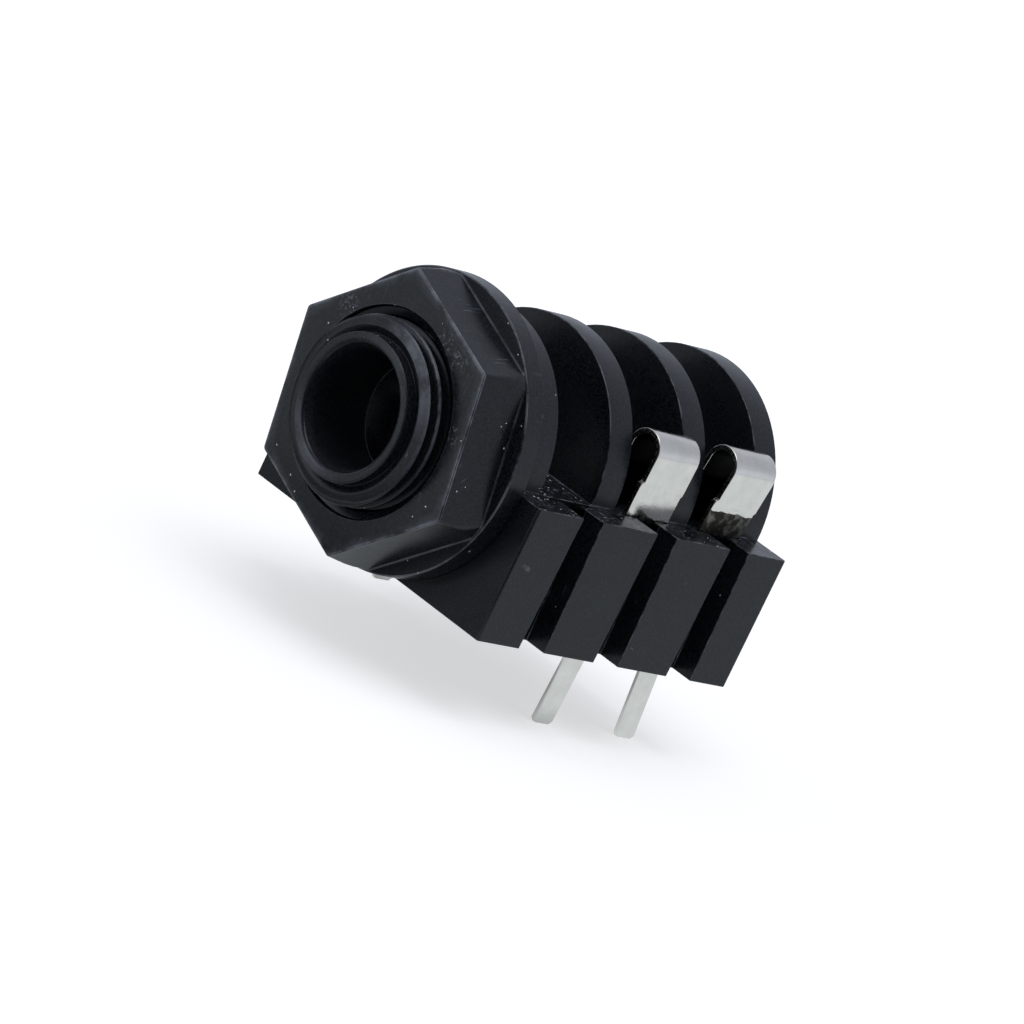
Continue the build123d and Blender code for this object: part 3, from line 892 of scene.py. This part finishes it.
def break_contact(name, gap):
    """Foot, bend over the ledge, run under the plug, and the upturned tip, whose X follows the
    slope of the spring's free end."""
    foot_line, foot_edges = pin_and_foot(-1, gap, BREAK_PIN, 0)
    middle, half = gap + GAP_WIDTH / 2, BREAK_WIDTH / 2
    spring_x = CREST_X + END_OUT / END_DOWN * (CREST_Z - BREAK_TIP_Z)
    tip_x = spring_x - STRIP - BREAK_GAP
    leg_top = np.array([-ROW_X, LEDGE_Z + BREAK_HEIGHT - LOOP_R])
    hairpin = arc_about(leg_top + (LOOP_R, 0), leg_top, -np.pi, 40)
    down, across = (2 * LOOP_R - ROW_X, BREAK_RUN_Z), (tip_x, BREAK_RUN_Z)
    end = (tip_x, BREAK_TIP_Z)
    first = rounded_corner(hairpin[-1], down, across, BREAK_BEND_R)
    second = rounded_corner(down, across, end, BREAK_BEND_R)
    start = (-ROW_X, LEDGE_Z + 2 * STEP)
    line = np.vstack([foot_line, [start], hairpin, first, second, [end]])
    narrow = np.tile((middle - half, middle + half), (len(line) - len(foot_line), 1))
    edges = np.vstack([foot_edges, narrow])
    return folded_strip(name, line, edges, len(foot_line), FACE_RIGHT)


for name, node, gap in [("sleeve_break_strip", "sleeve_break_contact", SECOND_GAP),
                        ("tip_break_strip", "tip_break_contact", THIRD_GAP)]:
    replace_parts(break_contact(name, gap), node)

# %% [markdown]
# ## Camera
# The camera stands where the photograph was taken from: far off with a long lens, in front of
# the nose, to the right and a little above, and rolled so that the body runs down to the right.

# %% Camera
CAMERA_PLACE = np.array([254.22, -277.71, 81.09]) * MM
CAMERA_FORWARD = Vector((-0.646737, 0.731287, -0.216682))
CAMERA_UP = Vector((-0.453298, -0.140058, 0.880287))
SENSOR = 36.0
FOCAL_PIXELS, IMAGE_PIXELS = 6812.5, 1024

camera_data = bpy.data.cameras.new("camera")
camera_data.sensor_width = SENSOR
camera_data.lens = FOCAL_PIXELS / IMAGE_PIXELS * SENSOR
camera_data.clip_start, camera_data.clip_end = 0.01, 20
camera = new_object("camera", camera_data)
right = CAMERA_FORWARD.cross(CAMERA_UP)
turn = Matrix((right, CAMERA_UP, -CAMERA_FORWARD)).transposed()
camera.matrix_world = Matrix.Translation(CAMERA_PLACE) @ turn.to_4x4()
bpy.context.scene.camera = camera
print("lens, mm:", round(camera_data.lens, 1))

# %% [markdown]
# ## Floor
# The object stands on a white sheet in a light tent. The sheet is pale by its own colour and
# keeps a soft shadow. Seen from below it is clear, so that the underside can be looked at.

# %% Floor
FLOOR_Z = cad_box[0].z - 0.02 * MM
SHEET_HALF = 3.0
# Directions in which the sheet ends, as the plastic mirrors it, and the cosines to them at
# which that starts and is complete
DARK_SIDES = [((0.66, -0.75, 0), 0.68, 0.88), ((-1, 0, 0), 0.76, 0.9)]
# The body's shadow in mirror rays, under it and in front of the block: middle, core and rim in
# millimetres, and its darkest value
BODY_SHADOWS = [((0, 10), 5, 12, 0.35), ((-13, -19), 9, 22, 0.2)]


def floor_material():
    """White paper, lifted for camera rays, and wholly white far off. In mirror rays it is a
    bright sheet with the body's shadow, which fades far off and ends where the room is dark.
    From below it is clear."""
    material, tree = new_material("white_paper_sheet")
    path = add_node(tree, "LightPath")
    side = add_node(tree, "NewGeometry")
    place = side.outputs["Position"]
    off_body = add_node(tree, "VectorMath", {1: (0, 10 * MM, FLOOR_Z)}, {0: place},
        operation="DISTANCE")

    paper = add_node(tree, "BsdfDiffuse", {"Color": linear("#c4c4c4")})
    whiter = add_node(tree, "MapRange",
        {"From Min": 0.06, "From Max": 0.25, "To Min": 0.6, "To Max": 1.0}, {"Value": off_body},
        interpolation_type="SMOOTHSTEP")
    strength = add_node(tree, "Math", links={0: path.outputs["Is Camera Ray"], 1: whiter},
        operation="MULTIPLY")
    lift = add_node(tree, "Emission", links={"Strength": strength})
    lit = add_node(tree, "AddShader", links={0: paper, 1: lift})

    towards = add_node(tree, "VectorMath", links={0: place}, operation="NORMALIZE")
    factors = []
    for direction, start, complete in DARK_SIDES:
        along = add_node(tree, "VectorMath", {1: direction}, {0: towards}, operation="DOT_PRODUCT")
        factors.append(add_node(tree, "MapRange",
            {"From Min": start, "From Max": complete, "To Min": 1.0, "To Max": 0.0},
            {"Value": along}, interpolation_type="SMOOTHSTEP"))
    for (x, y), core, rim, darkest in BODY_SHADOWS:
        off_middle = add_node(tree, "VectorMath", {1: (x * MM, y * MM, FLOOR_Z)}, {0: place},
            operation="DISTANCE")
        factors.append(add_node(tree, "MapRange",
            {"From Min": core * MM, "From Max": rim * MM, "To Min": darkest},
            {"Value": off_middle}, interpolation_type="SMOOTHSTEP"))
    factors.append(add_node(tree, "MapRange",
        {"From Min": 0.07, "From Max": 0.7, "To Min": 1.0, "To Max": 0.64}, {"Value": off_body}))
    bright = factors[0]
    for factor in factors[1:]:
        bright = add_node(tree, "Math", links={0: bright, 1: factor}, operation="MULTIPLY")
    level = add_node(tree, "Math", {1: 0.8, 2: 0.12}, {0: bright}, operation="MULTIPLY_ADD")
    mirrored = add_node(tree, "Emission", {"Color": linear("#ecf4fb")}, {"Strength": level})

    sheet = add_node(tree, "MixShader",
        links={0: path.outputs["Is Glossy Ray"], 1: lit, 2: mirrored})
    clear = add_node(tree, "BsdfTransparent")
    both = add_node(tree, "MixShader", links={0: side.outputs["Backfacing"], 1: sheet, 2: clear})
    add_node(tree, "OutputMaterial", links={"Surface": both})
    return material


floor_mesh = bpy.data.meshes.new("floor")
floor_corners = [(x * SHEET_HALF, y * SHEET_HALF, FLOOR_Z)
                 for x, y in [(-1, -1), (1, -1), (1, 1), (-1, 1)]]
floor_mesh.from_pydata(floor_corners, [], [(0, 1, 2, 3)])
floor_mesh.materials.append(floor_material())
new_object("floor", floor_mesh)
print("sheet at z, mm:", round(FLOOR_Z / MM, 2))

# %% [markdown]
# ## Light
# A softbox overhead draws the shadow, and the tent does the rest. Black plastic shows little but
# what it mirrors, so the tent isn't even: it has a dark opening at the front right, a low window
# at the front left, a shaded seam overhead at the rear and lit cloth low at the rear right.

# %% Softbox
SOFTBOX_PLACE, SOFTBOX_AIM = Vector((0.1, -0.1, 0.6)), Vector((0, 0.01, 0))
softbox_light = bpy.data.lights.new("top_softbox", "AREA")
softbox_light.shape = "SQUARE"
softbox_light.size = 0.5
softbox_light.energy = 1.6
softbox = new_object("top_softbox", softbox_light)
softbox.location = SOFTBOX_PLACE
softbox.rotation_euler = (SOFTBOX_AIM - SOFTBOX_PLACE).to_track_quat("-Z", "Y").to_euler()
print("softbox, W:", round(softbox_light.energy, 1))

# %% Light tent
TENT_OPENING = (0.66, -0.72, 0.21)
# Window, shaded seam and lit cloth: direction, cosines at the patch's edge and where it is full,
# and its change of light
TENT_PATCHES = [((-0.42, -0.87, 0.25), 0.94, 0.985, 1.8), ((0.15, 0.74, 0.66), 0.88, 0.98, -0.1),
                ((0.68, 0.73, 0.05), 0.93, 0.995, 0.22)]
world = bpy.data.worlds.new("light_tent")
bpy.context.scene.world = world
world.use_nodes = True
tree = world.node_tree
tree.nodes.clear()
path = add_node(tree, "LightPath")
direction = add_node(tree, "TexCoord").outputs["Generated"]
towards_opening = add_node(tree, "VectorMath", {1: TENT_OPENING}, {0: direction},
    operation="DOT_PRODUCT")
light = add_node(tree, "MapRange",
    {"From Min": 0.4, "From Max": 0.9, "To Min": 0.8, "To Max": 0.06}, {"Value": towards_opening},
    interpolation_type="SMOOTHSTEP")
for middle, edge, full, change in TENT_PATCHES:
    towards_patch = add_node(tree, "VectorMath", {1: middle}, {0: direction},
        operation="DOT_PRODUCT")
    amount = add_node(tree, "MapRange", {"From Min": edge, "From Max": full, "To Max": change},
        {"Value": towards_patch}, interpolation_type="SMOOTHSTEP")
    light = add_node(tree, "Math", links={0: light, 1: amount}, operation="ADD")
tent = add_node(tree, "Background", {"Color": linear("#d6ddec")}, {"Strength": light})
backdrop = add_node(tree, "Background", {"Color": (1, 1, 1, 1)})
seen = add_node(tree, "MixShader", links={0: path.outputs["Is Camera Ray"], 1: tent, 2: backdrop})
add_node(tree, "OutputWorld", links={"Surface": seen})
bpy.context.scene.view_settings.view_transform = "Standard"
print("tent patches:", len(TENT_PATCHES))
